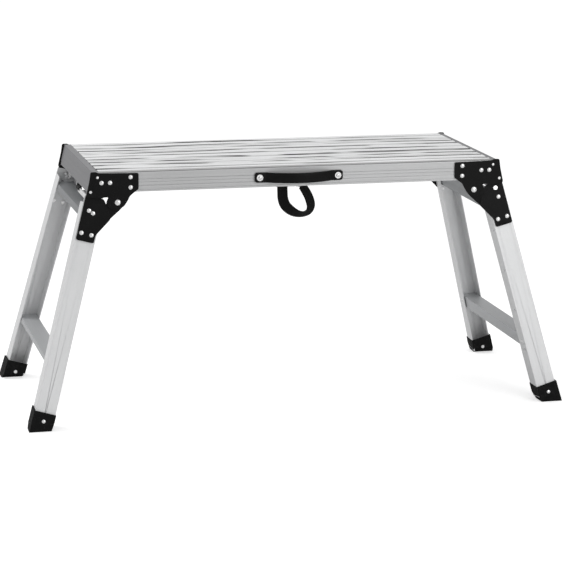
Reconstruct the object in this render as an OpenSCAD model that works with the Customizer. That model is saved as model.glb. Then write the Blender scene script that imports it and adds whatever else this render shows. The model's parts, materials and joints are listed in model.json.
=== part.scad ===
// Folding work platform bench: a ribbed aluminium deck on two leg sets that fold inwards under it.
// Millimetres. X runs along the deck, Y across it (front is -Y) and Z up from the floor.
// Corner parts are modelled once, in the +X +Y corner, and mirrored to the other three.

/* [Deck] */
// Length of the deck, end channel to end channel
deck_l = 838; // [800:1:880]
// Width of the deck over the side rails
deck_w = 364; // [350:2:380]
// Height of the rib tops above the floor
bench_h = 508; // [490:1:530]
// Height of a side rail
rail_h = 42; // [40:0.5:44]
// Width of a side rail's flanges
flange = 32; // [30:0.5:33]
// Wall of the extrusions
wall = 2; // [1.8:0.1:2.2]

/* [Legs] */
// Lean of the legs towards the ends, from vertical
lean = 14.67; // [13:0.1:16]
// Lean of the legs towards the sides, from vertical
splay = 6.84; // [5:0.1:7.5]
// Width of a leg channel
leg_w = 41; // [40:0.1:42]
// Depth of a leg channel's flanges
leg_d = 37; // [33:0.5:38]
// Distance from the pivot line to the leg's near edge
leg_gap = 24.7; // [24.5:0.1:25.5]

/* [Brackets] */
// Thickness of the bracket plates
plate = 3; // [2.5:0.1:3]
// Radius of the leg pivots
pivot_r = 4; // [3.5:0.1:4]
// Diameter of the large rivet heads
head_d = 9; // [8:0.1:9.5]

/* [Handle] */
// Distance between the handle screws
handle_span = 162; // [150:1:180]
// How far the handle stands off the rail
handle_bow = 26; // [22:0.5:30]

/* [Hidden] */

$fn = 48;
ALU = "#c9ccce";
BLACK = "#1d1d20";
STEEL = "#dfe1e2";
NYLON = "#e8e6df";

gap = 0.2;                             // clearance between parts that only touch
end_x = deck_l / 2;                    // outer face of an end channel
side_y = deck_w / 2;                   // outer face of a side rail
rail_z = bench_h - rail_h;             // underside of the side rails
rib_h = 1.2;                           // ribs stand this far above the deck skin
skin_z = bench_h - rib_h;              // top of the deck skin between the ribs

// Planks: three of them, each two strips of ribs wide
strip_w = 50;
plank_w = 2 * strip_w;
plank_h = 20;
plank_z = bench_h - plank_h;
ribs_per_strip = 5;
rib_w = 5.6;
rib_pitch = 8.8;
end_lip = 12;                          // width of the end channel's top flange
plank_l = deck_l - 2 * end_lip - 0.4;
shelf_w = 26;                          // ledge that the plank ends rest on
shelf_half = side_y - 10;
end_tilt = 9.5;                        // foot of the end channel stands this far out from its top

// Pivot of a leg set, and the plane of the leg webs at its height
pivot_x = end_x - 49;
pivot_z = rail_z - 20;
web_y = side_y - 5.2;

// Layers across a pivot, from the outside in
bracket_y = side_y;                    // inner face of a rail bracket
gusset_y = side_y - 0.6 - plate;       // inner face of a leg bracket's pivot plate
hanger_y = gusset_y - gap - plate;     // inner face of a pivot hanger

// Leg positions are measured in the leg's own plane: u away from the pivot, w up the leg
leg_u = leg_gap;
leg_top = -3;
lever_room = -15;                      // top of the outer flange
floor_w = -(pivot_z / cos(splay) + (leg_u + leg_w / 2) * sin(lean)) / cos(lean);
foot_h = 36.5;
foot_top = floor_w + foot_h;
foot_inner_y = web_y + pivot_z * tan(splay) - (leg_d + 2) / cos(splay);
leg_end = floor_w + 14;
upper_top = pivot_z - 17;              // level top of the upper crossmember
upper_skirt = 33;                      // its inner side, along the leg
upper_lip = 13.5;                      // its outer side
lower_top = 135.6;                     // the same three for the lower brace
lower_skirt = 27;
lower_lip = 8.5;
brace_grip = 5.3;                      // leg flange, brace side and the slight angle between them
hole_pitch = 86.4;
hole_top = -98.4;

// Lock: a cross shaft under the end of the deck carries two hooks and a release lever
lock_x = end_x - 7;
lock_z = rail_z - 4.5;
shaft_r = 3;
hub_r = 4.2;
hook_y = side_y - 24;                  // inner face of a hook plate
hook_t = 4;
lock_stud = [46.7, -11.2];             // where the lock stud crosses the leg web, in u and w
stop = [end_x + 5, rail_z + 2.5];      // stop stud, in x and z
shaft_end = side_y + plate - 1.2;      // the shaft turns in blind bores in the rail brackets

// Rivets in a rail bracket: distance inboard of the deck's end, and height above the rail
rail_rivets = [[75, 9.5], [75, 30], [34, 20], [17, 20]];
small_rivet = [9, 31];
// Rivets in a leg bracket, in u and w, on the two kinds of corner
leg_rivets_plain = [[51, -29], [42.2, -32.5]];
leg_rivets_headed = [[48.7, -31]];
leg_rivets_low = [[35.5, -75.5], [56, -75]];

handle_h = 20.5;
handle_z = rail_z + 20;
handle_x = -1;                         // the handle sits a touch left of the middle
strap_x = 5;
strap_drop = 64;

// ---------------------------------------------------------------- helpers

// Closed outline with each corner eased over the distance r by a short curve
function unit(v) = v / norm(v);
function eased(points, r, steps = 3) = [
    for (i = [0 : len(points) - 1])
        let (a = points[(i + len(points) - 1) % len(points)],
             b = points[i],
             c = points[(i + 1) % len(points)],
             p = b + unit(a - b) * min(r, norm(a - b) / 2),
             q = b + unit(c - b) * min(r, norm(c - b) / 2))
            for (k = [0 : steps])
                let (t = k / steps) (1 - t) * (1 - t) * p + 2 * t * (1 - t) * b + t * t * q
];

module at_end(sx) { mirror([sx < 0 ? 1 : 0, 0, 0]) children(); }
module at_side(sy) { mirror([0, sy < 0 ? 1 : 0, 0]) children(); }
module at_corner(sx, sy) { at_end(sx) at_side(sy) children(); }

// A 2D outline in X and Z, made into a plate from y to y + t
module plate_xz(y, t) {
    translate([0, y + t, 0]) rotate([90, 0, 0]) linear_extrude(t) children();
}

// A round bar along +Y from y0 to y1
module bar_y(x, z, r, y0, y1) {
    translate([x, y1, z]) rotate([90, 0, 0]) cylinder(h = y1 - y0, r = r);
}

// A domed rivet along +Z: the grip lies below z = 0, and the head above it
module rivet(r_head, r_shank, grip, tail = 1.6) {
    dome = r_head * 0.42;
    rotate_extrude()
        polygon(concat(
            [[0, -grip - tail], [r_shank * 1.5, -grip - tail], [r_shank * 1.5, -grip],
             [r_shank, -grip], [r_shank, 0], [r_head, 0]],
            [for (a = [15 : 15 : 75]) [r_head * cos(a), dome * sin(a)]],
            [[0, dome]]));
}

// Places things on the outside of a leg web, with Z along the leg and Y out of the web
module leg_plane() {
    translate([pivot_x, web_y, pivot_z]) rotate([splay, 0, 0]) rotate([0, -lean, 0]) children();
}

// Places a rivet or bore on a leg plate at u, w, with its head outwards
module on_leg(p, out = 0) {
    leg_plane() translate([p[0], out, p[1]]) rotate([-90, 0, 0]) children();
}

// ---------------------------------------------------------------- deck

// Top of a strip of deck: ribs on the skin, as points from y to y + width
function rib_points(y, count) = [
    for (i = [0 : count - 1])
        let (m = y + (i - (count - 1) / 2) * rib_pitch)
            each [[m - rib_w / 2, skin_z], [m - rib_w / 2 + 0.6, bench_h],
                  [m + rib_w / 2 - 0.6, bench_h], [m + rib_w / 2, skin_z]]
];

module plank_profile() {
    half = plank_w / 2 - gap;
    lip = 10;
    groove = 1.1;
    polygon(concat(
        [[-half, skin_z]],
        rib_points(-strip_w / 2, ribs_per_strip),
        [[-2, skin_z], [-1, skin_z - groove], [1, skin_z - groove], [2, skin_z]],
        rib_points(strip_w / 2, ribs_per_strip),
        [[half, skin_z], [half, plank_z], [half - lip, plank_z],
         [half - lip, plank_z + wall], [half - wall, plank_z + wall],
         [half - wall, skin_z - wall - groove], [wall / 2, skin_z - wall - groove],
         [wall / 2, plank_z], [-wall / 2, plank_z],
         [-wall / 2, skin_z - wall - groove], [wall - half, skin_z - wall - groove],
         [wall - half, plank_z + wall], [lip - half, plank_z + wall],
         [lip - half, plank_z], [-half, plank_z]]));
}

module deck_plank(n) {
    color(ALU) difference() {
        translate([-plank_l / 2, n * plank_w, 0])
            rotate([90, 0, 90]) linear_extrude(plank_l) plank_profile();
        for (sx = [-1, 1], sy = [-1, 1]) at_end(sx) plank_rivet_at(n, sy) bore_z(2.1);
    }
}

module plank_rivet_at(n, sy) {
    translate([end_x - 18, n * plank_w + sy * (plank_w / 2 - 6.4), plank_z - wall]) children();
}

module bore_z(r) { translate([0, 0, -5]) cylinder(h = 12, r = r); }

// Side rail: a channel with its web outwards and ribs on its top flange
module rail_profile() {
    out = side_y;
    in = side_y - flange;
    round = 2.6;
    polygon(concat(
        [[in, skin_z - wall], [in, skin_z]],
        [for (m = [in + 8.6, in + 17.4])
            each [[m - rib_w / 2, skin_z], [m - rib_w / 2 + 0.6, bench_h],
                  [m + rib_w / 2 - 0.6, bench_h], [m + rib_w / 2, skin_z]]],
        [for (a = [90 : -18 : 0])
            [out - round + round * cos(a), skin_z - round + round * sin(a)]],
        [[out, rail_z], [in, rail_z], [in, rail_z + wall],
         [out - wall, rail_z + wall], [out - wall, skin_z - wall]]));
}

// Shallow drawing lines along the face of a side rail, as heights above its underside
rail_lines = [4, 12, 19, 25];
rail_line = 0.35;

module side_rail(sy) {
    flange_l = deck_l - 2 * end_lip - 0.4;
    color(ALU) at_side(sy) difference() {
        translate([-end_x, 0, 0]) rotate([90, 0, 90]) linear_extrude(deck_l) rail_profile();
        for (h = rail_lines) translate([-end_x - 1, side_y, rail_z + h]) rotate([45, 0, 0])
            translate([0, -rail_line, -rail_line]) cube([deck_l + 2, 2 * rail_line, 2 * rail_line]);
        // the flanges stop short of the end channels
        for (sx = [-1, 1]) at_end(sx)
            translate([flange_l / 2, 0, rail_z - 1])
                cube([end_lip + 10, side_y - wall, rail_h + 2]);
        for (sx = [-1, 1]) at_end(sx) {
            for (p = rail_rivets) bar_y(end_x - p[0], rail_z + p[1], 2.5, side_y - 6, side_y + 1);
            bar_y(end_x - small_rivet[0], rail_z + small_rivet[1], 1.6, side_y - 6, side_y + 1);
            for (p = hanger_rivets) translate([p[0], p[1], rail_z]) bore_z(2.1);
        }
        for (p = stiffener_rivets, sx = [-1, 1]) at_end(sx) translate([p[0], p[1], rail_z]) bore_z(2.1);
        if (sy < 0) {
            for (s = [-1, 1]) bar_y(handle_x + s * handle_span / 2, handle_z, 2.6, side_y - 6, side_y + 1);
            for (x = strap_rivet_x) translate([x, side_y - 16, rail_z]) bore_z(2.1);
        }
    }
}

// End channel: a sloping panel with a flange over the plank ends and a shelf under them
module end_channel(sx) {
    half = side_y - wall - gap;
    foot_x = end_x + end_tilt;
    color(ALU) at_end(sx) difference() {
        union() {
            plate_xz(-half, 2 * half) polygon([
                [end_x - end_lip, skin_z - wall], [end_x - end_lip, skin_z], [end_x, skin_z],
                [foot_x, rail_z], [foot_x - wall, rail_z], [end_x - wall, skin_z - wall]]);
            translate([end_x - shelf_w, -shelf_half, plank_z - wall])
                cube([shelf_w + 3.2, 2 * shelf_half, wall]);
        }
        for (n = [-1 : 1], s = [-1, 1]) plank_rivet_at(n, s) bore_z(2.1);
        // room for the stop studs
        for (sy = [-1, 1]) at_side(sy)
            translate([end_x, side_y - 10, rail_z - 1]) cube([20, 10, 7]);
    }
}

// Stiffener across the underside of the planks, standing on the rails' lower flanges
stiffener_x = 150;
stiffener_rivets = [[stiffener_x - 6, side_y - 16], [stiffener_x + 6, side_y - 16]];

module cross_stiffener(sx) {
    w = 26;
    h = plank_z - rail_z - wall;
    l = deck_w - 2 * wall - 2 * gap;
    color(ALU) at_end(sx) difference() {
        translate([stiffener_x, l / 2, rail_z + wall]) rotate([90, 0, 0]) linear_extrude(l)
            polygon([[-w / 2, 0], [w / 2, 0], [w / 2, wall], [wall - w / 2, wall],
                     [wall - w / 2, h - wall], [w / 2, h - wall], [w / 2, h], [-w / 2, h]]);
        for (p = stiffener_rivets, sy = [-1, 1]) translate([p[0], sy * p[1], rail_z + wall]) bore_z(2.1);
    }
}

// ---------------------------------------------------------------- corner hardware on the deck

// Outline of a rail bracket in X and Z, from its inboard top corner round to its pivot ear
module rail_bracket_outline() {
    x = end_x;
    z = rail_z;
    difference() {
        polygon(eased([
            [x - 91, z + 37.5], [x - 11, z + 39], [x - 7, z + 42], [x + 4.5, z + 42],
            [x + 7, z + 24], [x + 13.5, z - 4], [x + 12, z - 7.5],
            [x - 19.5, z - 11], [x - 20, z - 9], [x - 31, z - 9],
            [x - 26, z - 20], [x - 33, z - 31], [x - 49, z - 35.5], [x - 62, z - 27.5],
            [x - 68.5, z - 18], [x - 74, z - 7], [x - 88, z + 3.5], [x - 91, z + 6]
        ], 3));
        translate([pivot_x, pivot_z]) circle(r = pivot_r + 0.05);
        translate(stop) circle(r = 2.55);
        for (p = rail_rivets) translate([x - p[0], z + p[1]]) circle(r = 2.5);
        translate([x - small_rivet[0], z + small_rivet[1]]) circle(r = 1.6);
    }
}

module rail_bracket(sx, sy) {
    color(BLACK) at_corner(sx, sy) difference() {
        plate_xz(bracket_y, plate) rail_bracket_outline();
        bar_y(lock_x, lock_z, shaft_r + 0.06, side_y - 1, shaft_end + 0.1);
    }
}

// Hanger inside each pivot: an ear on a foot riveted under the rail
hanger_rivets = [[pivot_x - 12, side_y - 18], [pivot_x + 12, side_y - 18]];

module pivot_hangers() {
    color(BLACK) for (sx = [-1, 1], sy = [-1, 1]) at_corner(sx, sy) {
        plate_xz(hanger_y, plate) difference() {
            union() {
                translate([pivot_x, pivot_z]) circle(r = 11);
                translate([pivot_x - 11, pivot_z]) square([22, rail_z - pivot_z]);
            }
            translate([pivot_x, pivot_z]) circle(r = pivot_r + 0.05);
        }
        difference() {
            translate([pivot_x - 18, side_y - 25, rail_z - 2.5])
                cube([36, 25 - side_y + hanger_y + plate, 2.5]);
            for (p = hanger_rivets) translate([p[0], p[1], rail_z]) bore_z(2.1);
        }
    }
}

module leg_pivots() {
    inner = hanger_y - 2;
    color(STEEL) for (sx = [-1, 1], sy = [-1, 1]) at_corner(sx, sy)
        translate([pivot_x, bracket_y + plate, pivot_z]) rotate([-90, 0, 0]) {
            rotate_extrude() polygon(concat(
                [[0, 0], [6, 0]],
                [for (a = [15 : 15 : 75]) [6 * cos(a), 2.6 * sin(a)]],
                [[0, 2.6]]));
            translate([0, 0, hanger_y - bracket_y - plate]) cylinder(h = bracket_y + plate - hanger_y, r = pivot_r);
            translate([0, 0, inner - bracket_y - plate]) cylinder(h = 2, r = 6);
        }
}

module pivot_washers() {
    color(NYLON) for (sx = [-1, 1], sy = [-1, 1]) at_corner(sx, sy)
        plate_xz(gusset_y + plate + 0.05, 0.5) translate([pivot_x, pivot_z]) difference() {
            circle(r = 9);
            circle(r = pivot_r + 0.1);
        }
}

// Studs that stop the legs from spreading past their open position
module stop_studs() {
    color(STEEL) for (sx = [-1, 1], sy = [-1, 1]) at_corner(sx, sy) {
        bar_y(stop[0], stop[1], 2.5, side_y - 9, side_y + plate);
        bar_y(stop[0], stop[1], 2.8, side_y + plate, side_y + plate + 0.8);
    }
}

// Rivets of the rail brackets, through the rail webs
module bracket_rivets() {
    color(STEEL) for (sx = [-1, 1], sy = [-1, 1]) at_corner(sx, sy) {
        for (p = rail_rivets)
            translate([end_x - p[0], side_y + plate, rail_z + p[1]]) rotate([-90, 0, 0])
                rivet(head_d / 2, 2.4, plate + wall);
        translate([end_x - small_rivet[0], side_y + plate, rail_z + small_rivet[1]]) rotate([-90, 0, 0])
            rivet(2.8, 1.5, plate + wall);
    }
}

// Rivets under the deck: planks to end shelves, stiffeners, hangers and strap anchor to rails
module deck_rivets() {
    under = [180, 0, 0];
    color(STEEL) {
        for (sx = [-1, 1]) at_end(sx) {
            for (n = [-1 : 1], s = [-1, 1])
                plank_rivet_at(n, s) rotate(under) rivet(3.6, 2, 2 * wall);
            for (sy = [-1, 1]) at_side(sy) {
                for (p = stiffener_rivets)
                    translate([p[0], p[1], rail_z]) rotate(under) rivet(3.6, 2, 2 * wall);
                for (p = hanger_rivets)
                    translate([p[0], p[1], rail_z - 2.5]) rotate(under) rivet(3.4, 2, 2.5 + wall);
            }
        }
        for (x = strap_rivet_x)
            translate([x, 16 - side_y, rail_z - 3.5]) rotate(under) rivet(3.4, 2, 3.5 + wall);
    }
}

// ---------------------------------------------------------------- handle and strap

// Distance of the handle's middle line from the rail at x, flat on the pads and bowed between
function bow_at(x) =
    let (run = handle_span / 2 - 14, t = min(1, abs(x) / run))
        (handle_bow - 5) * pow(cos(90 * t), 0.75);

module carry_handle() {
    pad = 10;
    thick = 4.6;
    end = handle_span / 2 + pad;
    xs = [for (i = [-14 : 14]) i * (handle_span / 2 - 14) / 14];
    color(BLACK) translate([handle_x, -side_y, handle_z - handle_h / 2]) difference() {
        linear_extrude(handle_h) polygon(concat(
            [[-end, 0]],
            [for (x = xs) [x, -bow_at(x)]],
            [[end, 0], [end, -thick]],
            [for (i = [len(xs) - 1 : -1 : 0]) [xs[i], -bow_at(xs[i]) - thick]],
            [[-end, -thick]]));
        for (s = [-1, 1]) translate([s * handle_span / 2, 1, handle_h / 2]) rotate([90, 0, 0])
            cylinder(h = 8, r = 2.6);
    }
}

handle_face = side_y + 4.6;

module handle_washers() {
    color(STEEL) at_side(-1) for (s = [-1, 1])
        plate_xz(handle_face, 1) translate([handle_x + s * handle_span / 2, handle_z]) difference() {
            circle(r = 6.5);
            circle(r = 2.6);
        }
}

module handle_screws() {
    head = 4.4;
    length = handle_face + 1 - side_y + wall + 4.5;
    color(STEEL) at_side(-1) for (s = [-1, 1])
        translate([handle_x + s * handle_span / 2, handle_face + 1, handle_z]) rotate([-90, 0, 0])
            difference() {
                rotate_extrude() polygon(concat(
                    [[0, -length], [2.2, -length], [2.5, 0.3 - length], [2.5, 0], [head, 0]],
                    [for (a = [15 : 15 : 75]) [head * cos(a), 2.4 * sin(a)]],
                    [[0, 2.4]]));
                // hexagon socket
                translate([0, 0, 0.4]) cylinder(h = 3, r = 1.6, $fn = 6);
            }
}

module handle_nuts() {
    color(STEEL) at_side(-1) for (s = [-1, 1])
        plate_xz(side_y - wall - 4, 4) translate([handle_x + s * handle_span / 2, handle_z]) difference() {
            circle(r = 4.6, $fn = 6);
            circle(r = 2.55);
        }
}

// Strap that holds the folded legs: a hanging loop under the front rail
strap_rivet_x = [strap_x - 40, strap_x];

module storage_strap() {
    inner = eased([[-29, 1], [-29, -34], [-8, -53], [13, -54], [14, -38], [-8, 1]], 8, 5);
    outer = eased([[-51, 0], [-51, -30], [-26, -strap_drop], [26, -strap_drop], [33, -40], [10, 0]], 14, 6);
    color(BLACK) translate([strap_x, 11 - side_y, rail_z - 0.2]) rotate([90, 0, 0]) linear_extrude(5)
        difference() {
            polygon(outer);
            polygon(inner);
        }
}

module strap_anchor() {
    color(STEEL) difference() {
        translate([strap_x - 48, 13.8 - side_y, rail_z - 3.5]) rotate([90, 0, 0]) mirror([0, 0, 1])
            cube([56, 3.4, 5]);
        for (x = strap_rivet_x) translate([x, 16 - side_y, rail_z]) bore_z(2.1);
    }
}

// ---------------------------------------------------------------- leg sets

module leg(sx, sy) {
    u0 = leg_u;
    u1 = leg_u + leg_w;
    color(ALU) at_corner(sx, sy) difference() {
        leg_plane() difference() {
            translate([0, 0, leg_end]) linear_extrude(leg_top - leg_end)
                polygon([[u0, 0], [u1, 0], [u1, -leg_d], [u1 - wall, -leg_d], [u1 - wall, -wall],
                         [u0 + wall, -wall], [u0 + wall, -leg_d], [u0, -leg_d]]);
            for (i = [0 : 3])
                translate([u0 - 1, -11.5, hole_top - i * hole_pitch]) rotate([0, 90, 0])
                    cylinder(h = wall + 2, r = 2.8);
            for (w = brace_rivet_w, y = brace_rivet_y)
                translate([u0 - 1, y, w]) rotate([0, 90, 0]) cylinder(h = wall + 2, r = 2.1);
            // the outer flange stops below the release lever
            translate([u1 - wall - 0.5, -leg_d - 1, lever_room]) cube([wall + 1, leg_d - wall, 20]);
        }
        for (p = concat(leg_rivets(sx, sy), [foot_rivet])) on_leg(p, -6) cylinder(h = 8, r = 2.5);
        on_leg(lock_stud, -6) cylinder(h = 8, r = shaft_r + 0.05);
    }
}

// On the left front and right rear corners two rivets stand where the others show a stud's head
function has_stud_head(sx, sy) = sx * sy < 0;
function leg_rivets(sx, sy) =
    concat(has_stud_head(sx, sy) ? leg_rivets_headed : leg_rivets_plain, leg_rivets_low);

// Height z above the floor, carried to u on a leg set, as a distance w along it
function w_at(z, u) = (z - pivot_z - u * sin(lean)) / cos(lean);

brace_rivet_y = [-13, -24];
brace_rivet_w = [w_at(upper_top, leg_u) - upper_skirt / 2, w_at(lower_top, leg_u) - lower_skirt / 2];
foot_rivet = [leg_u + leg_w / 2 + 0.5, floor_w + 20.5];

// Channel between the legs of a set: a level top with a deep inner side and a shallow outer lip
module brace(sx, top, skirt, lip, inset, short) {
    u0 = leg_u + wall + inset;
    u1 = leg_u + leg_w - wall - 1.3;
    half = side_y + 80;
    t = wall / cos(lean);
    color(ALU) at_end(sx) difference() {
        translate([pivot_x, 0, pivot_z]) rotate([0, -lean, 0])
            plate_xz(-half, 2 * half) polygon([
                [u0, w_at(top, u0)], [u1, w_at(top, u1)], [u1, w_at(top, u1) - lip],
                [u1 - wall, w_at(top, u1) - lip], [u1 - wall, w_at(top, u1 - wall) - t],
                [u0 + wall, w_at(top, u0 + wall) - t], [u0 + wall, w_at(top, u0) - skirt],
                [u0, w_at(top, u0) - skirt]]);
        for (sy = [-1, 1]) at_side(sy) leg_plane() {
            translate([-20, -wall - short, w_at(top, u1) - 100]) cube([200, 200, 200]);
            for (w = brace_rivet_w, y = brace_rivet_y)
                translate([u0 - 2, y, w]) rotate([0, 90, 0]) cylinder(h = wall + 4, r = 2.15);
        }
    }
}

// Leg bracket: a flat plate on the leg web, joined to an upright plate at the pivot
module leg_bracket(sx, sy) {
    u1 = leg_u + leg_w - 1.8;
    low = -90.5;
    color(BLACK) at_corner(sx, sy) difference() {
        union() {
            leg_plane() plate_xz(0, plate) polygon(eased([
                [leg_u + 3.3, -0.5], [leg_u + 29.3, -0.5], [leg_u + 30.3, 5.2], [leg_u + 36.3, 5.2],
                [u1, -0.5], [u1, low], [leg_u + 2.8, low], [leg_u + 2.8, low + 16], [5, -36],
                [leg_u - 1.5, -6.1]], 4));
            plate_xz(gusset_y, plate) translate([pivot_x, pivot_z]) union() {
                circle(r = 14.5);
                polygon([[-12.5, -7.3], [-4, -16.5], [16, -34], [30.5, -34], [23.4, -6],
                         [21.5, -1.5], [9.7, 10.8]]);
            }
        }
        bar_y(pivot_x, pivot_z, pivot_r + 0.05, side_y - 20, side_y + 10);
        for (p = leg_rivets(sx, sy)) on_leg(p, -2) cylinder(h = 8, r = 2.5);
        if (has_stud_head(sx, sy)) on_leg(lock_stud, -2) cylinder(h = 8, r = shaft_r + 0.05);
    }
}

module leg_set_rivets(sx) {
    color(STEEL) for (sy = [-1, 1]) at_corner(sx, sy)
        for (p = leg_rivets(sx, sy)) on_leg(p, plate) rivet(head_d / 2, 2.4, plate + wall);
}

// Rivets through the inward flanges of the legs into the braces
module brace_rivets(sx) {
    color(STEEL) for (sy = [-1, 1]) at_corner(sx, sy)
        for (w = brace_rivet_w, y = brace_rivet_y)
            leg_plane() translate([leg_u, y, w]) rotate([0, -90, 0]) rivet(3.6, 2, brace_grip);
}

boot_back = 2;                         // wall of a boot over the open side of the leg
boot_face = 4;                         // wall of a boot over the leg web

// One rivet right through each boot and leg, with its tail set over the boot's back wall
module foot_rivets(sx) {
    color(STEEL) for (sy = [-1, 1]) at_corner(sx, sy)
        on_leg(foot_rivet, boot_face) rivet(3.8, 2.4, boot_back + leg_d + boot_face);
}

// Moulded boot round the end of a leg, with a flat tread on the floor
module foot(sx, sy) {
    u0 = leg_u;
    u1 = leg_u + leg_w;
    slack = 0.1;
    inner = 0.9;                       // wall on the side towards the middle of the bench
    outer = 2.8;                       // wall on the side towards the end
    plug_top = foot_top - 10;          // the boot fills the leg up to here
    tread_bevel = [12, 10];            // how far the tread is cut back, and how high
    color(BLACK) at_corner(sx, sy) difference() {
        leg_plane() difference() {
            plate_xz(-leg_d - boot_back, leg_d + boot_back + boot_face) polygon(eased([
                [u0 - inner, foot_top + 9], [u1 + outer, foot_top + 9],
                [u1 + outer + 1, floor_w - 20], [u0 + 4, floor_w - 20],
                [u0 - inner, floor_w + 22]], 2.5));
            // the top is level from front to back
            translate([0, boot_face, foot_top]) rotate([-atan(tan(splay) / cos(lean)), 0, 0])
                plate_xz(-80, 100) polygon([
                    [u0 - 5, -0.2], [u1 + 8, 1.7], [u1 + 8, 30], [u0 - 5, 30]]);
            // slot for the leg channel, and the hollow inside it
            translate([0, 0, leg_end - slack]) linear_extrude(60) polygon([
                [u0 - slack, slack], [u1 + slack, slack], [u1 + slack, -leg_d - slack],
                [u1 - wall - slack, -leg_d - slack], [u1 - wall - slack, -wall - 4],
                [u0 + wall + slack, -wall - 4], [u0 + wall + slack, -leg_d - slack],
                [u0 - slack, -leg_d - slack]]);
            translate([u0 - slack, -leg_d - slack, plug_top])
                cube([leg_w + 2 * slack, leg_d + 2 * slack, 40]);
        }
        translate([0, 0, -100]) cube([2 * deck_l, 2 * deck_w, 100]);
        // the tread's inner edge is cut back
        translate([0, foot_inner_y, 0]) rotate([90, 0, 90]) linear_extrude(2 * deck_l)
            polygon([[-30, -1], [tread_bevel[0], -1], [tread_bevel[0], 0], [0, tread_bevel[1]],
                     [-30, tread_bevel[1]]]);
        on_leg(foot_rivet, -leg_d - boot_back - 1)
            cylinder(h = boot_back + leg_d + boot_face + 2, r = 2.5);
    }
}

// ---------------------------------------------------------------- lock

// Studs that the hooks hold: some show a head on the bracket, the others end under it
module lock_studs(sx) {
    color(STEEL) for (sy = [-1, 1]) at_corner(sx, sy) {
        headed = has_stud_head(sx, sy);
        on_leg(lock_stud, -26) cylinder(h = 26 + (headed ? plate : -0.1), r = shaft_r);
        if (headed) on_leg(lock_stud, plate) cylinder(h = 1.5, r = head_d / 2);
    }
}

module lock_shaft(sx) {
    color(STEEL) at_end(sx) bar_y(lock_x, lock_z, shaft_r, -shaft_end, shaft_end);
}

module lock_hooks(sx) {
    color(STEEL) for (sy = [-1, 1]) at_corner(sx, sy)
        plate_xz(hook_y, hook_t) translate([lock_x, lock_z]) difference() {
            union() {
                circle(r = hub_r);
                polygon([[-3.8, 0], [3.4, -1], [2.2, -6], [2.2, -20.4], [9.5, -20.4],
                         [9.5, -21.8], [7, -24.5], [-0.5, -24.5], [-2.6, -21], [-3.6, -6]]);
            }
            circle(r = shaft_r + 0.03);
        }
}

// Release lever: a bent plate on the shaft whose lip shows below the end of the deck
lever_y = [-side_y + 34, -side_y + 132];

module release_lever(sx) {
    t = 2.5;
    lip = 10;
    arm = 14.5;
    color(STEEL) at_end(sx) plate_xz(lever_y[0], lever_y[1] - lever_y[0])
        translate([lock_x, lock_z]) difference() {
            union() {
                circle(r = hub_r);
                polygon([[-3.8, 0], [-3.8, -arm], [16, -arm], [16, lip - arm], [16 - t, lip - arm],
                         [16 - t, t - arm], [t - 3.8, t - arm], [t - 3.8, -1]]);
            }
            circle(r = shaft_r + 0.03);
        }
}

// Soft grip pushed over the end of the lever's lip
module lever_grip(sx) {
    color(BLACK) at_end(sx) plate_xz(lever_y[1] - 22, 30) translate([lock_x, lock_z]) difference() {
        polygon(eased([[11, -9.5], [18, -9.5], [18, -2], [11, -2]], 2));
        translate([13.4, -12]) square([2.7, 7.6]);
    }
}

// Torsion spring round the shaft that holds the hooks shut
module lock_spring(sx) {
    wire = 0.5;
    coil = 4.15;
    turns = 7;
    color(STEEL) at_end(sx) translate([lock_x, side_y - 78, lock_z]) rotate([90, 0, 0]) {
        for (i = [0 : turns - 1]) translate([0, 0, i * (2 * wire + 0.04)])
            rotate_extrude() translate([coil, 0]) circle(r = wire, $fn = 16);
    }
}

deck_plank(-1);  // deck_plank_front
deck_plank(0);  // deck_plank_middle
deck_plank(1);  // deck_plank_rear
side_rail(-1);  // side_rail_front
side_rail(1);  // side_rail_rear
end_channel(-1);  // end_channel_left
end_channel(1);  // end_channel_right
cross_stiffener(-1);  // cross_stiffener_left
cross_stiffener(1);  // cross_stiffener_right
rail_bracket(-1, -1);  // rail_bracket_front_left
rail_bracket(1, -1);  // rail_bracket_front_right
rail_bracket(-1, 1);  // rail_bracket_rear_left
rail_bracket(1, 1);  // rail_bracket_rear_right
pivot_hangers();
leg_pivots();
pivot_washers();
stop_studs();
bracket_rivets();
deck_rivets();
carry_handle();
handle_screws();
handle_washers();
handle_nuts();
storage_strap();
strap_anchor();
leg(-1, -1);  // leg_front_left
leg(-1, 1);  // leg_rear_left
leg(1, -1);  // leg_front_right
leg(1, 1);  // leg_rear_right
brace(-1, upper_top, upper_skirt, upper_lip, 0.3, 4);  // upper_crossmember_left
brace(1, upper_top, upper_skirt, upper_lip, 0.3, 4);  // upper_crossmember_right
brace(-1, lower_top, lower_skirt, lower_lip, 0.9, gap);  // lower_brace_left
brace(1, lower_top, lower_skirt, lower_lip, 0.9, gap);  // lower_brace_right
leg_bracket(-1, -1);  // leg_bracket_front_left
leg_bracket(-1, 1);  // leg_bracket_rear_left
leg_bracket(1, -1);  // leg_bracket_front_right
leg_bracket(1, 1);  // leg_bracket_rear_right
foot(-1, -1);  // foot_front_left
foot(-1, 1);  // foot_rear_left
foot(1, -1);  // foot_front_right
foot(1, 1);  // foot_rear_right
leg_set_rivets(-1);  // leg_rivets_left
leg_set_rivets(1);  // leg_rivets_right
brace_rivets(-1);  // brace_rivets_left
brace_rivets(1);  // brace_rivets_right
foot_rivets(-1);  // foot_rivets_left
foot_rivets(1);  // foot_rivets_right
lock_studs(-1);  // lock_studs_left
lock_studs(1);  // lock_studs_right
lock_shaft(-1);  // lock_shaft_left
lock_shaft(1);  // lock_shaft_right
lock_hooks(-1);  // lock_hooks_left
lock_hooks(1);  // lock_hooks_right
release_lever(-1);  // release_lever_left
release_lever(1);  // release_lever_right
lever_grip(-1);  // lever_grip_left
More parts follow.
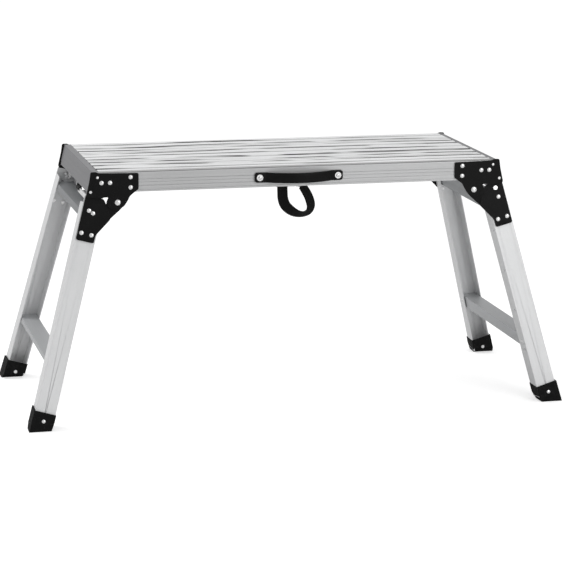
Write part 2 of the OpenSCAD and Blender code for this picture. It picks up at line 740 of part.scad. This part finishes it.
lever_grip(1);  // lever_grip_right
lock_spring(-1);  // lock_spring_left
lock_spring(1);  // lock_spring_right
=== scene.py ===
import json
import math

import bmesh
import bpy
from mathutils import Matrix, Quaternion, Vector


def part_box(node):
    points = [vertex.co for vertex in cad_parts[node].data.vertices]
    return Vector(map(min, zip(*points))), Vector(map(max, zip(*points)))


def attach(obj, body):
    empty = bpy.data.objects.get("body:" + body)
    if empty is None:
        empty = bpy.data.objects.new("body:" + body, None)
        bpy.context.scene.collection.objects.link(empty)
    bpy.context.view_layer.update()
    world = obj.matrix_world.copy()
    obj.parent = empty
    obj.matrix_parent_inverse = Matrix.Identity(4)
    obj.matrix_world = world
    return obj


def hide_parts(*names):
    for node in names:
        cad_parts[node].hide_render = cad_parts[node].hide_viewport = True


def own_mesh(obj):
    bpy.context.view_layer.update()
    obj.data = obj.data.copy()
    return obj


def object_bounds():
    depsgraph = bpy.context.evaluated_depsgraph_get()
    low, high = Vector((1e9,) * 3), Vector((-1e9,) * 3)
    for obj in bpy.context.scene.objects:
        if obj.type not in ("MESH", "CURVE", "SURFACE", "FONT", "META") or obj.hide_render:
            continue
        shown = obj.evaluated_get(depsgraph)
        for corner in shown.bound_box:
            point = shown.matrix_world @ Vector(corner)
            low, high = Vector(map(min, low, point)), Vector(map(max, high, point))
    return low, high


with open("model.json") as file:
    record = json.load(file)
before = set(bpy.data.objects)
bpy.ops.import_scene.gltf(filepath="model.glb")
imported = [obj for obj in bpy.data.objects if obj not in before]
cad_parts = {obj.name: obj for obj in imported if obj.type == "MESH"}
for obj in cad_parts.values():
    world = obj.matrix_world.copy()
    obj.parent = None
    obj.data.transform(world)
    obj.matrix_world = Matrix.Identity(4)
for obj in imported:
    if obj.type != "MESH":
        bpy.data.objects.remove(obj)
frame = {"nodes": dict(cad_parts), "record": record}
cad_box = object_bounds()
nodes = frame["nodes"]
slot_of = {part["node"]: part["material_slot"] for part in frame["record"]["subparts"]}

MM = 0.001
LEG_LEAN = math.radians(14.67)      # the legs' lean towards the ends, for the run of their grain
STREAK_PITCH = 38 * MM              # from one dark streak of painted groove shade on the deck to the next
SCREW_HEAD_RADIUS = 4.4 * MM        # of the carry handle's two screws


def midpoint(node):
    low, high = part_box(node)
    return (low + high) / 2


# ---------------------------------------------------------------- shader helpers

def new_material(name):
    """A node material, with its tree and its shader."""
    material = bpy.data.materials.new(name)
    material.use_nodes = True
    tree = material.node_tree
    return material, tree, tree.nodes["Principled BSDF"]


def add(tree, kind, inputs=None, **settings):
    """Adds a shader node; an input may be a value or another node's output socket."""
    node = tree.nodes.new(kind)
    for key, value in settings.items():
        setattr(node, key, value)
    connect(tree, node, inputs or {})
    return node


def connect(tree, node, inputs):
    for key, value in inputs.items():
        if isinstance(value, bpy.types.NodeSocket):
            tree.links.new(value, node.inputs[key])
        else:
            node.inputs[key].default_value = value


def grey(value):
    return (value, value, value, 1.0)


def place(tree, scale, lean=0.0):
    """Object coordinates in metres, turned about Y and stretched, so noise can run along a grain."""
    coords = add(tree, "ShaderNodeTexCoord").outputs["Object"]
    turned = add(tree, "ShaderNodeMapping", {"Vector": coords, "Rotation": (0.0, lean, 0.0)})
    return add(tree, "ShaderNodeMapping", {"Vector": turned.outputs[0], "Scale": scale}).outputs[0]


def noise(tree, vector, detail, roughness):
    node = add(tree, "ShaderNodeTexNoise",
               {"Vector": vector, "Scale": 1.0, "Detail": detail, "Roughness": roughness})
    return node.outputs[0]


def remap(tree, value, low, high, to_low, to_high):
    node = add(tree, "ShaderNodeMapRange",
               {"Value": value, "From Min": low, "From Max": high, "To Min": to_low, "To Max": to_high})
    return node.outputs[0]


def math_node(tree, operation, first, second):
    return add(tree, "ShaderNodeMath", {0: first, 1: second}, operation=operation).outputs[0]


def mix_colour(tree, factor, first, second, blend="MIX"):
    node = add(tree, "ShaderNodeMix", {0: factor, 6: first, 7: second},
               data_type="RGBA", blend_type=blend)
    return node.outputs[2]


def bump(tree, height, distance, strength, normal=None):
    inputs = {"Height": height, "Distance": distance, "Strength": strength}
    if normal is not None:
        inputs["Normal"] = normal
    return add(tree, "ShaderNodeBump", inputs).outputs[0]


def edge_mask(tree, radius, low, high):
    """1 on sharp edges and 0 on open faces, from how far a rounded normal leans from the true one."""
    rounded = add(tree, "ShaderNodeBevel", {"Radius": radius}, samples=4).outputs[0]
    true = add(tree, "ShaderNodeNewGeometry").outputs["Normal"]
    product = add(tree, "ShaderNodeVectorMath", {0: rounded, 1: true}, operation="DOT_PRODUCT")
    return remap(tree, product.outputs["Value"], high, low, 0.0, 1.0)


# ---------------------------------------------------------------- materials

LENGTHWAYS = (1.0, 0.0, 0.0)
CROSSWAYS = (0.0, 1.0, 0.0)
UPWAYS = (0.0, 0.0, 1.0)


def aluminium(name, tone, grain=LENGTHWAYS, lean=0.0, rough=0.4, streak=0.05, metal=0.55):
    """Drawn aluminium: long die lines and fine brushing along its grain, with faint cloudy patches."""
    material, tree, shader = new_material(name)
    line_along, line_across = 2.5, 420.0
    brush_along, brush_across = 60.0, 3200.0
    line_scale = tuple(line_along if g else line_across for g in grain)
    brush_scale = tuple(brush_along if g else brush_across for g in grain)
    lines = noise(tree, place(tree, line_scale, lean), 3.0, 0.6)
    brushing = noise(tree, place(tree, brush_scale, lean), 2.0, 0.5)
    patches = noise(tree, place(tree, (9.0, 9.0, 9.0)), 2.0, 0.5)
    line_tone = remap(tree, lines, 0.3, 0.7, 1.0 - streak, 1.0 + streak * 0.6)
    patch_tone = remap(tree, patches, 0.3, 0.7, 0.97, 1.02)
    tone_now = math_node(tree, "MULTIPLY", line_tone, patch_tone)
    base = add(tree, "ShaderNodeCombineColor", {
        "Red": math_node(tree, "MULTIPLY", tone_now, tone[0]),
        "Green": math_node(tree, "MULTIPLY", tone_now, tone[1]),
        "Blue": math_node(tree, "MULTIPLY", tone_now, tone[2])}).outputs[0]
    line_bump = bump(tree, lines, 0.00002, 0.3)
    connect(tree, shader, {
        "Base Color": base,
        "Metallic": metal,
        "Roughness": remap(tree, brushing, 0.3, 0.7, rough - 0.07, rough + 0.09),
        "Normal": bump(tree, brushing, 0.00003, 0.6, line_bump)})
    return material


def deck_aluminium(name, tone, side_shade):
    """The deck's top: pale ribs, grooves painted dark as shade, and long broken dark streaks of painted
    groove shade; plain lower down, but painted darker there as shade on the sides.
    """
    material = aluminium(name, tone, rough=0.42, streak=0.07, metal=0.3)
    tree = material.node_tree
    shader = tree.nodes["Principled BSDF"]
    base = shader.inputs["Base Color"].links[0].from_socket
    height = add(tree, "ShaderNodeSeparateXYZ",
                 {"Vector": add(tree, "ShaderNodeTexCoord").outputs["Object"]}).outputs["Z"]
    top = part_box("deck_plank_front")[1].z
    # each blend runs from its lower height to its upper one, both below the ribs' tops
    rib = remap(tree, height, top - 1.3 * MM, top - 0.3 * MM, 0.0, 1.0)
    groove_wall = remap(tree, height, top - 2.6 * MM, top - 1.4 * MM, 0.0, 1.0)
    on_top = remap(tree, height, top - 3.2 * MM, top - 2.6 * MM, 0.0, 1.0)
    # painted shade: the groove floors are coloured near black and their walls dark grey, for the shade
    # that falls in the grooves
    groove_shade = mix_colour(tree, groove_wall, grey(0.10), grey(0.42))
    ribbed = mix_colour(tree, rib, groove_shade, base)
    # painted shade: long broken near-black streaks, also made less metallic, stand in for the shade in the
    # deck's grooves
    pitches = place(tree, (1.0, 1 / STREAK_PITCH, 1.0))
    across = add(tree, "ShaderNodeSeparateXYZ", {"Vector": pitches}).outputs["Y"]
    drift = noise(tree, place(tree, (3.0, 5.0, 0.0)), 1.0, 0.4)
    turns = math_node(tree, "FRACT", math_node(tree, "ADD", across, drift), 0.0)
    off_line = math_node(tree, "ABSOLUTE", math_node(tree, "SUBTRACT", turns, 0.5), 0.0)
    broken = noise(tree, place(tree, (6.0, 0.9 / STREAK_PITCH, 0.0)), 2.0, 0.5)
    streak = math_node(tree, "MULTIPLY", remap(tree, off_line, 0.10, 0.17, 1.0, 0.0),
                       remap(tree, broken, 0.42, 0.52, 0.1, 1.0))
    with_groove_shade = mix_colour(tree, math_node(tree, "MULTIPLY", streak, 0.98), ribbed, grey(0.02))
    # painted shade: below the top the colour is multiplied down, for the shade on the faces below the top
    side = mix_colour(tree, 1.0, base, grey(side_shade), "MULTIPLY")
    off_shade_line = math_node(tree, "SUBTRACT", 1.0, math_node(tree, "MULTIPLY", streak, on_top))
    connect(tree, shader, {
        "Base Color": mix_colour(tree, on_top, side, with_groove_shade),
        "Metallic": math_node(tree, "MULTIPLY", off_shade_line, remap(tree, on_top, 0.0, 1.0, 0.7, 0.3)),
        "Specular IOR Level": 0.3})
    return material


def powder_coat(name, tone=0.003, wear=0.06):
    """Black powder coat: orange-peel skin, dust specks, and bare grey metal worn through along edges."""
    material, tree, shader = new_material(name)
    peel = noise(tree, place(tree, (900.0,) * 3), 2.0, 0.5)
    specks = noise(tree, place(tree, (1500.0,) * 3), 1.0, 0.4)
    cloud = noise(tree, place(tree, (35.0,) * 3), 3.0, 0.6)
    scuffs = noise(tree, place(tree, (160.0, 160.0, 700.0), 0.6), 4.0, 0.7)
    dark = mix_colour(tree, remap(tree, cloud, 0.35, 0.7, 0.0, 1.0), grey(tone), grey(tone * 1.7))
    dusty = mix_colour(tree, remap(tree, specks, 0.66, 0.74, 0.0, 0.5), dark, grey(0.04))
    worn = math_node(tree, "MULTIPLY", edge_mask(tree, 0.7 * MM, 0.86, 0.985),
                     remap(tree, scuffs, 0.45, 0.62, 0.0, 1.0))
    connect(tree, shader, {
        "Base Color": mix_colour(tree, math_node(tree, "MULTIPLY", worn, 0.7), dusty, grey(wear)),
        "Roughness": remap(tree, cloud, 0.3, 0.7, 0.42, 0.56),
        "Specular IOR Level": 0.12,
        "Normal": bump(tree, peel, 0.00006, 0.45)})
    return material


def rubber(name, tone=0.004):
    """Matt moulded rubber with a fine eroded texture and a little dust."""
    material, tree, shader = new_material(name)
    grain = noise(tree, place(tree, (700.0,) * 3), 3.0, 0.7)
    dust = noise(tree, place(tree, (60.0,) * 3), 4.0, 0.65)
    speck = noise(tree, place(tree, (330.0,) * 3), 2.0, 0.5)
    dark = mix_colour(tree, remap(tree, dust, 0.45, 0.75, 0.0, 1.0), grey(tone), grey(tone * 2.6))
    connect(tree, shader, {
        "Base Color": mix_colour(tree, remap(tree, speck, 0.62, 0.72, 0.0, 0.6), dark, grey(0.03)),
        "Roughness": remap(tree, dust, 0.3, 0.7, 0.62, 0.8),
        "Specular IOR Level": 0.12,
        "Normal": bump(tree, grain, 0.00025, 0.5)})
    return material


def moulded_plastic(name, tone=0.003):
    """Satin black moulding with a fine spark-eroded skin and rubbed, slightly shinier high spots."""
    material, tree, shader = new_material(name)
    skin = noise(tree, place(tree, (1100.0,) * 3), 2.0, 0.6)
    rubbed = noise(tree, place(tree, (30.0, 60.0, 60.0)), 3.0, 0.6)
    rubbing = remap(tree, rubbed, 0.4, 0.7, 0.0, 1.0)
    connect(tree, shader, {
        "Base Color": mix_colour(tree, rubbing, grey(tone), grey(tone * 2.0)),
        "Roughness": remap(tree, rubbed, 0.3, 0.7, 0.5, 0.36),
        "Specular IOR Level": 0.12,
        "Normal": bump(tree, skin, 0.00005, 0.4)})
    return material


def plated_steel(name, tone, rough, metal=0.85):
    """Zinc-plated steel with a faintly mottled, slightly uneven shine."""
    material, tree, shader = new_material(name)
    mottle = noise(tree, place(tree, (260.0,) * 3), 3.0, 0.6)
    fine = noise(tree, place(tree, (2400.0,) * 3), 2.0, 0.5)
    mottling = remap(tree, mottle, 0.35, 0.65, 0.0, 1.0)
    connect(tree, shader, {
        "Base Color": mix_colour(tree, mottling, grey(tone * 0.86), grey(tone)),
        "Metallic": metal,
        "Roughness": remap(tree, mottle, 0.3, 0.7, rough - 0.05, rough + 0.08),
        "Normal": bump(tree, fine, 0.00002, 0.3)})
    return material


def nylon(name):
    """Natural nylon: warm white, waxy, with a soft mottle."""
    material, tree, shader = new_material(name)
    cloud = noise(tree, place(tree, (200.0,) * 3), 2.0, 0.5)
    clouding = remap(tree, cloud, 0.3, 0.7, 0.0, 1.0)
    warm_white, pale_white = (0.72, 0.70, 0.62, 1), (0.8, 0.78, 0.7, 1)
    connect(tree, shader, {
        "Base Color": mix_colour(tree, clouding, warm_white, pale_white),
        "Roughness": remap(tree, cloud, 0.3, 0.7, 0.34, 0.44),
        "Normal": bump(tree, cloud, 0.00003, 0.3)})
    return material


def webbing_weave(name, pick, cords):
    """Woven black webbing from its UVs: u runs once round the band, v is the metres along it."""
    material, tree, shader = new_material(name)
    uv = add(tree, "ShaderNodeUVMap", uv_map="weave").outputs[0]
    axes = add(tree, "ShaderNodeSeparateXYZ", {"Vector": uv})
    turn = 2 * math.pi
    round_band = math_node(tree, "MULTIPLY", axes.outputs["X"], turn * cords)
    down_band = math_node(tree, "MULTIPLY", axes.outputs["Y"], turn / pick)
    weave = math_node(tree, "MULTIPLY", math_node(tree, "SINE", round_band, 0.0),
                      math_node(tree, "SINE", down_band, 0.0))
    fuzz = noise(tree, place(tree, (1800.0,) * 3), 3.0, 0.7)
    # painted shade: the weave's low spots are coloured darker and its high spots lighter, for the shade
    # between the cords
    weave_shade = remap(tree, weave, -1.0, 1.0, 0.0, 1.0)
    height = math_node(tree, "ADD", weave, fuzz)
    connect(tree, shader, {
        "Base Color": mix_colour(tree, weave_shade, grey(0.0015), grey(0.009)),
        "Roughness": remap(tree, fuzz, 0.3, 0.7, 0.75, 0.95),
        "Specular IOR Level": 0.12,
        "Sheen Weight": 0.04,
        "Sheen Roughness": 0.5,
        "Normal": bump(tree, height, 0.0004, 0.8)})
    return material


materials = {
    # the last figure of each darkens the faces below the top as painted shade, most on the rail's front
    # face
    "deck": deck_aluminium("deck_aluminium", (0.95, 0.955, 0.96), 0.8),
    "rail": deck_aluminium("rail_aluminium", (0.95, 0.955, 0.96), 0.57),
    # painted shade: the end channels get a dark tone for the shade their outward faces are in
    "end": aluminium("end_aluminium_shaded", (0.26, 0.26, 0.27), CROSSWAYS, streak=0.08),
    "stiffener": aluminium("stiffener_aluminium", (0.62, 0.63, 0.64), CROSSWAYS),
    # painted shade: the braces and crossmembers get lower tones for the shade they sit in under the deck
    # and between the legs
    "brace": aluminium("brace_aluminium_shaded", (0.50, 0.51, 0.52), CROSSWAYS),
    "crossmember": aluminium("crossmember_aluminium_shaded", (0.30, 0.31, 0.32), CROSSWAYS),
    "leg_left": aluminium("leg_aluminium_left", (0.78, 0.785, 0.79), UPWAYS, -LEG_LEAN,
                          streak=0.02, metal=0.2),
    "leg_right": aluminium("leg_aluminium_right", (0.76, 0.765, 0.77), UPWAYS, LEG_LEAN,
                           streak=0.02, metal=0.2),
    "bracket": powder_coat("black_powder_coat"),
    "boot": rubber("boot_rubber"),
    "grip": rubber("grip_rubber", 0.02),
    "handle": moulded_plastic("handle_plastic"),
    "rivet": plated_steel("rivet_steel", 0.92, 0.26),
    "lock": plated_steel("lock_steel", 0.78, 0.3),
    # painted highlight: the lever is near white and barely metallic, standing in for its bright highlight
    "lever": plated_steel("lever_steel_painted_highlight", 0.97, 0.3, metal=0.15),
    "nylon": nylon("washer_nylon"),
    "webbing": webbing_weave("strap_webbing", pick=1.6 * MM, cords=14),
}

LOOK_BY_NAME = {
    "end_channel": "end",
    "cross_stiffener": "stiffener",
    "side_rail": "rail",
    "release_lever": "lever",
    "upper_crossmember": "crossmember",
    "lower_brace": "brace",
    "leg_front_left": "leg_left",
    "leg_rear_left": "leg_left",
    "leg_front_right": "leg_right",
    "leg_rear_right": "leg_right",
}

LOOK_BY_SLOT = {
    "deck_aluminium": "deck",
    "black_bracket": "bracket",
    "boot_rubber": "boot",
    "handle_plastic": "handle",
    "webbing": "webbing",
    "grip_rubber": "grip",
    "washer_nylon": "nylon",
    "rivet_steel": "rivet",
    "lock_steel": "lock",
}


def material_for(node):
    """The look of a CAD node: by its name for parts with their own grain or tone, else by its slot."""
    for start, look in LOOK_BY_NAME.items():
        if node.startswith(start):
            return materials[look]
    return materials[LOOK_BY_SLOT[slot_of[node]]]


EDGE_ROUNDING = {
    "boot_rubber": 1.1 * MM,
    "grip_rubber": 0.7 * MM,
    "black_bracket": 0.45 * MM,
    "frame_aluminium": 0.35 * MM,
    "leg_aluminium": 0.4 * MM,
    "lock_steel": 0.3 * MM,
}


def finish_cad_node(name, node):
    """Gives a CAD node its material, and eases its sharp edges so they catch the light."""
    node.data.materials.clear()
    node.data.materials.append(material_for(name))
    width = EDGE_ROUNDING.get(slot_of[name])
    already_round = "spring" in name or "shaft" in name
    if width is None or already_round:
        return
    weld = node.modifiers.new("weld", "WELD")
    weld.merge_threshold = 0.005 * MM
    bevel = node.modifiers.new("eased_edges", "BEVEL")
    bevel.width = width
    bevel.segments = 2
    bevel.limit_method = "ANGLE"
    bevel.angle_limit = math.radians(38)
    bevel.use_clamp_overlap = True
    bevel.harden_normals = True


for name, node in nodes.items():
    finish_cad_node(name, node)


# ---------------------------------------------------------------- mesh helpers

def make_piece(name, mesh, body, material):
    piece = bpy.data.objects.new(name, mesh)
    bpy.context.scene.collection.objects.link(piece)
    mesh.materials.append(materials[material])
    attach(piece, body)
    return piece


def loft(name, rings, lengths=None):
    """Joins rings of points, all of one count, into a capped skin.

    With each ring's distance along the path, it also gets the UVs that webbing_weave reads.
    """
    mesh = bpy.data.meshes.new(name)
    shape = bmesh.new()
    rows = [[shape.verts.new(point) for point in ring] for ring in rings]
    count = len(rows[0])
    layer = shape.loops.layers.uv.new("weave") if lengths else None
    for number, (near, far) in enumerate(zip(rows, rows[1:])):
        for i in range(count):
            j = (i + 1) % count
            face = shape.faces.new((near[i], near[j], far[j], far[i]))
            face.smooth = True
            if layer:
                spots = ((i, number), (i + 1, number), (i + 1, number + 1), (i, number + 1))
                for loop, (across, step) in zip(face.loops, spots):
                    loop[layer].uv = (across / count, lengths[step])
    shape.faces.new(list(reversed(rows[0])))
    shape.faces.new(rows[-1])
    bmesh.ops.recalc_face_normals(shape, faces=shape.faces)
    shape.to_mesh(mesh)
    shape.free()
    return mesh


def smooth_path(points, steps):
    """Catmull-Rom curve through the points."""
    full = [points[0] * 2 - points[1]] + list(points) + [points[-1] * 2 - points[-2]]
    path = []
    for a, b, c, d in zip(full, full[1:], full[2:], full[3:]):
        for k in range(steps):
            t = k / steps
            path.append(0.5 * ((2 * b) + (c - a) * t + (2 * a - 5 * b + 4 * c - d) * t * t
                               + (3 * b - 3 * c + d - a) * t ** 3))
    path.append(Vector(points[-1]))
    return path


def rounded_section(half_width, half_height, power, count):
    """Points round an oval that a higher power makes squarer."""
    ring = []
    for k in range(count):
        angle = 2 * math.pi * k / count
        c, s = math.cos(angle), math.sin(angle)
        ring.append((half_width * math.copysign(abs(c) ** (2 / power), c),
                     half_height * math.copysign(abs(s) ** (2 / power), s)))
    return ring


# ---------------------------------------------------------------- soft and moulded pieces

def storage_strap():
    """A webbing loop that hangs from the anchor plate and turns most at its bottom."""
    low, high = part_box("storage_strap")
    centre_y = (low.y + high.y) / 2
    width = 21.5 * MM
    thick = 1.7 * MM
    # along the loop: shares of the CAD solid's width and height, and the turn of the band in degrees
    course = [(0.165, 1.00, 0), (0.17, 0.80, 0), (0.185, 0.58, 6), (0.25, 0.37, 14), (0.39, 0.20, 26),
              (0.55, 0.095, 42), (0.71, 0.075, 48), (0.84, 0.15, 38), (0.895, 0.29, 28), (0.885, 0.45, 24),
              (0.825, 0.66, 26), (0.745, 0.84, 30), (0.665, 1.00, 34)]
    # the turn takes Y's place in each point, so the curve smooths it as well
    points = [Vector((low.x + (high.x - low.x) * u, math.radians(turn), low.z + (high.z - low.z) * v))
              for u, v, turn in course]
    path = smooth_path(points, 10)
    lengths = [0.0]
    rings = []
    for i, here in enumerate(path):
        before = path[max(i - 1, 0)]
        after = path[min(i + 1, len(path) - 1)]
        run = Vector((after.x - before.x, 0.0, after.z - before.z)).normalized()
        if i:
            lengths.append(lengths[-1] + math.hypot(here.x - path[i - 1].x, here.z - path[i - 1].z))
        side = Vector((run.z, 0.0, -run.x))
        flat = Quaternion(run, here.y) @ side
        face = run.cross(flat)
        centre = Vector((here.x, centre_y, here.z))
        rings.append([centre + flat * a + face * b
                      for a, b in rounded_section(width / 2, thick / 2, 7, 32)])
    mesh = loft("storage_strap_webbing", rings, lengths)
    strap = make_piece("storage_strap_webbing", mesh, "platform", "webbing")
    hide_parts("storage_strap")
    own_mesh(strap)


def carry_handle():
    """The bowed strap handle: soft edges, flat screw pads, and fine ribs inside for the fingers."""
    low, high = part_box("carry_handle")
    screw_low, screw_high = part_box("handle_screws")
    centre_x = midpoint("handle_screws").x
    centre_z = (low.z + high.z) / 2
    thick = 4.6 * MM
    pad_half = 14 * MM              # flat length from each screw towards the middle
    end_ease = 5 * MM               # length over which each end's height draws in
    rib_depth = 0.25 * MM
    rib_pitch = 4.5 * MM
    run = (screw_high.x - screw_low.x) / 2 - SCREW_HEAD_RADIUS - pad_half
    bow = (high.y - low.y) - thick
    end = (high.x - low.x) / 2
    steps = 120
    rings = []
    for i in range(steps + 1):
        x = -end + 2 * end * i / steps
        t = min(1.0, abs(x) / run)
        out = bow * math.cos(math.pi / 2 * t) ** 0.75 if t < 1 else 0.0
        ease = max(0.0, 1 - (end - abs(x)) / end_ease)
        half_height = (high.z - low.z) / 2 * math.sqrt(max(0.0, 1 - 0.55 * ease ** 2))
        rib = rib_depth * (0.5 + 0.5 * math.cos(2 * math.pi * x / rib_pitch)) if t < 0.8 else 0.0
        centre_y = high.y - thick / 2 - out
        ring = []
        for a, b in rounded_section(thick / 2, half_height, 5, 28):
            depth = a - (rib if a > thick / 2 * 0.6 else 0.0)
            ring.append(Vector((centre_x + x, centre_y + depth, centre_z + b)))
        rings.append(ring)
    mesh = loft("carry_handle_moulding", rings)
    handle = make_piece("carry_handle_moulding", mesh, "platform", "handle")
    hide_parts("carry_handle")


def lock_spring(side):
    """A torsion spring wound round the lock shaft; its two end legs are not modelled."""
    low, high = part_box("lock_spring_" + side)
    axis_x, axis_z = (low.x + high.x) / 2, (low.z + high.z) / 2
    wire = 0.5 * MM
    radius = (high.x - low.x) / 2 - wire
    turns = 6.5
    path = []
    steps = int(turns * 24)
    for i in range(steps + 1):
        angle = 2 * math.pi * turns * i / steps
        y = low.y + wire + (high.y - low.y - 2 * wire) * i / steps
        path.append(Vector((axis_x + radius * math.cos(angle), y, axis_z + radius * math.sin(angle))))
    rings = []
    for i, here in enumerate(path):
        run = (path[min(i + 1, steps)] - path[max(i - 1, 0)]).normalized()
        out = Vector((here.x - axis_x, 0.0, here.z - axis_z)).normalized()
        up = run.cross(out)
        rings.append([here + out * a + up * b for a, b in rounded_section(wire, wire, 2, 10)])
    mesh = loft("lock_spring_coil_" + side, rings)
    coil = make_piece("lock_spring_coil_" + side, mesh, "platform", "lock")
    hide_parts("lock_spring_" + side)


storage_strap()
carry_handle()
for side in ("left", "right"):
    lock_spring(side)


# ---------------------------------------------------------------- floor, light and camera

def studio_floor():
    """A wide white floor just under the boots, which glows a little, but only to the camera."""
    mesh = bpy.data.meshes.new("studio_floor")
    shape = bmesh.new()
    bmesh.ops.create_grid(shape, x_segments=1, y_segments=1, size=30.0)
    shape.to_mesh(mesh)
    shape.free()
    floor = bpy.data.objects.new("studio_floor", mesh)
    bpy.context.scene.collection.objects.link(floor)
    floor.location.z = cad_box[0].z - 0.5 * MM
    material, tree, shader = new_material("floor_white")
    seen = add(tree, "ShaderNodeLightPath").outputs["Is Camera Ray"]
    connect(tree, shader, {
        "Base Color": grey(0.8),
        "Roughness": 0.9,
        "Specular IOR Level": 0.0,
        "Emission Color": grey(1.0),
        "Emission Strength": math_node(tree, "MULTIPLY", seen, 0.55)})
    mesh.materials.append(material)


def studio_world():
    """White light, a little stronger from overhead and from the left, and plain white to the camera."""
    world = bpy.data.worlds.new("studio")
    bpy.context.scene.world = world
    world.use_nodes = True
    tree = world.node_tree
    background = tree.nodes["Background"]
    way = add(tree, "ShaderNodeSeparateXYZ",
              {"Vector": add(tree, "ShaderNodeTexCoord").outputs["Generated"]})
    overhead = remap(tree, way.outputs["Z"], 0.0, 0.8, 0.58, 0.62)
    sideways = remap(tree, way.outputs["X"], -1.0, 0.5, 1.1, 0.95)
    light = math_node(tree, "MULTIPLY", overhead, sideways)
    seen = add(tree, "ShaderNodeLightPath").outputs["Is Camera Ray"]
    strength = add(tree, "ShaderNodeMix", {0: seen, 2: light, 3: 1.0}).outputs[0]
    connect(tree, background, {"Color": grey(1.0), "Strength": strength})


def area_light(name, spot, aim, size, power):
    """A rectangular lamp at a spot, turned towards its aim; metres and watts."""
    lamp = bpy.data.lights.new(name, "AREA")
    lamp.shape = "RECTANGLE"
    lamp.size, lamp.size_y = size
    lamp.energy = power
    holder = bpy.data.objects.new(name, lamp)
    bpy.context.scene.collection.objects.link(holder)
    holder.location = spot
    holder.rotation_euler = (Vector(aim) - Vector(spot)).to_track_quat("-Z", "Y").to_euler()


def camera():
    """The photographer's place, fitted to the deck's corners and the feet: front left, a long lens."""
    azimuth, elevation, roll = (math.radians(a) for a in (-14.17, 12.24, 0.48))
    distance = 4.8318
    target = Vector((0.0112, 0.0, 0.2408))
    back = Vector((math.sin(azimuth) * math.cos(elevation),
                   -math.cos(azimuth) * math.cos(elevation), math.sin(elevation)))
    data = bpy.data.cameras.new("photographer")
    data.sensor_width = 36.0
    data.lens = 146.5
    data.shift_y = -0.0093
    data.clip_end = 100.0
    holder = bpy.data.objects.new("photographer", data)
    bpy.context.scene.collection.objects.link(holder)
    holder.location = target + back * distance
    level = (-back).to_track_quat("-Z", "Y")
    holder.rotation_mode = "QUATERNION"
    holder.rotation_quaternion = Quaternion(-back, -roll) @ level
    bpy.context.scene.camera = holder


studio_floor()
studio_world()
# the key stands at the front right, one fill over the deck's left end, and one low at the front
area_light("key", spot=(1.5, -2.6, 1.5), aim=(0.1, 0.0, 0.4), size=(1.6, 1.6), power=22)
area_light("deck_fill", spot=(-1.1, 0.5, 1.9), aim=(-0.35, 0.0, 0.5), size=(0.9, 0.9), power=15)
area_light("front_fill", spot=(1.3, -3.4, 0.45), aim=(0.3, 0.2, 0.35), size=(1.2, 0.8), power=3.5)
camera()
bpy.context.scene.view_settings.view_transform = "Standard"
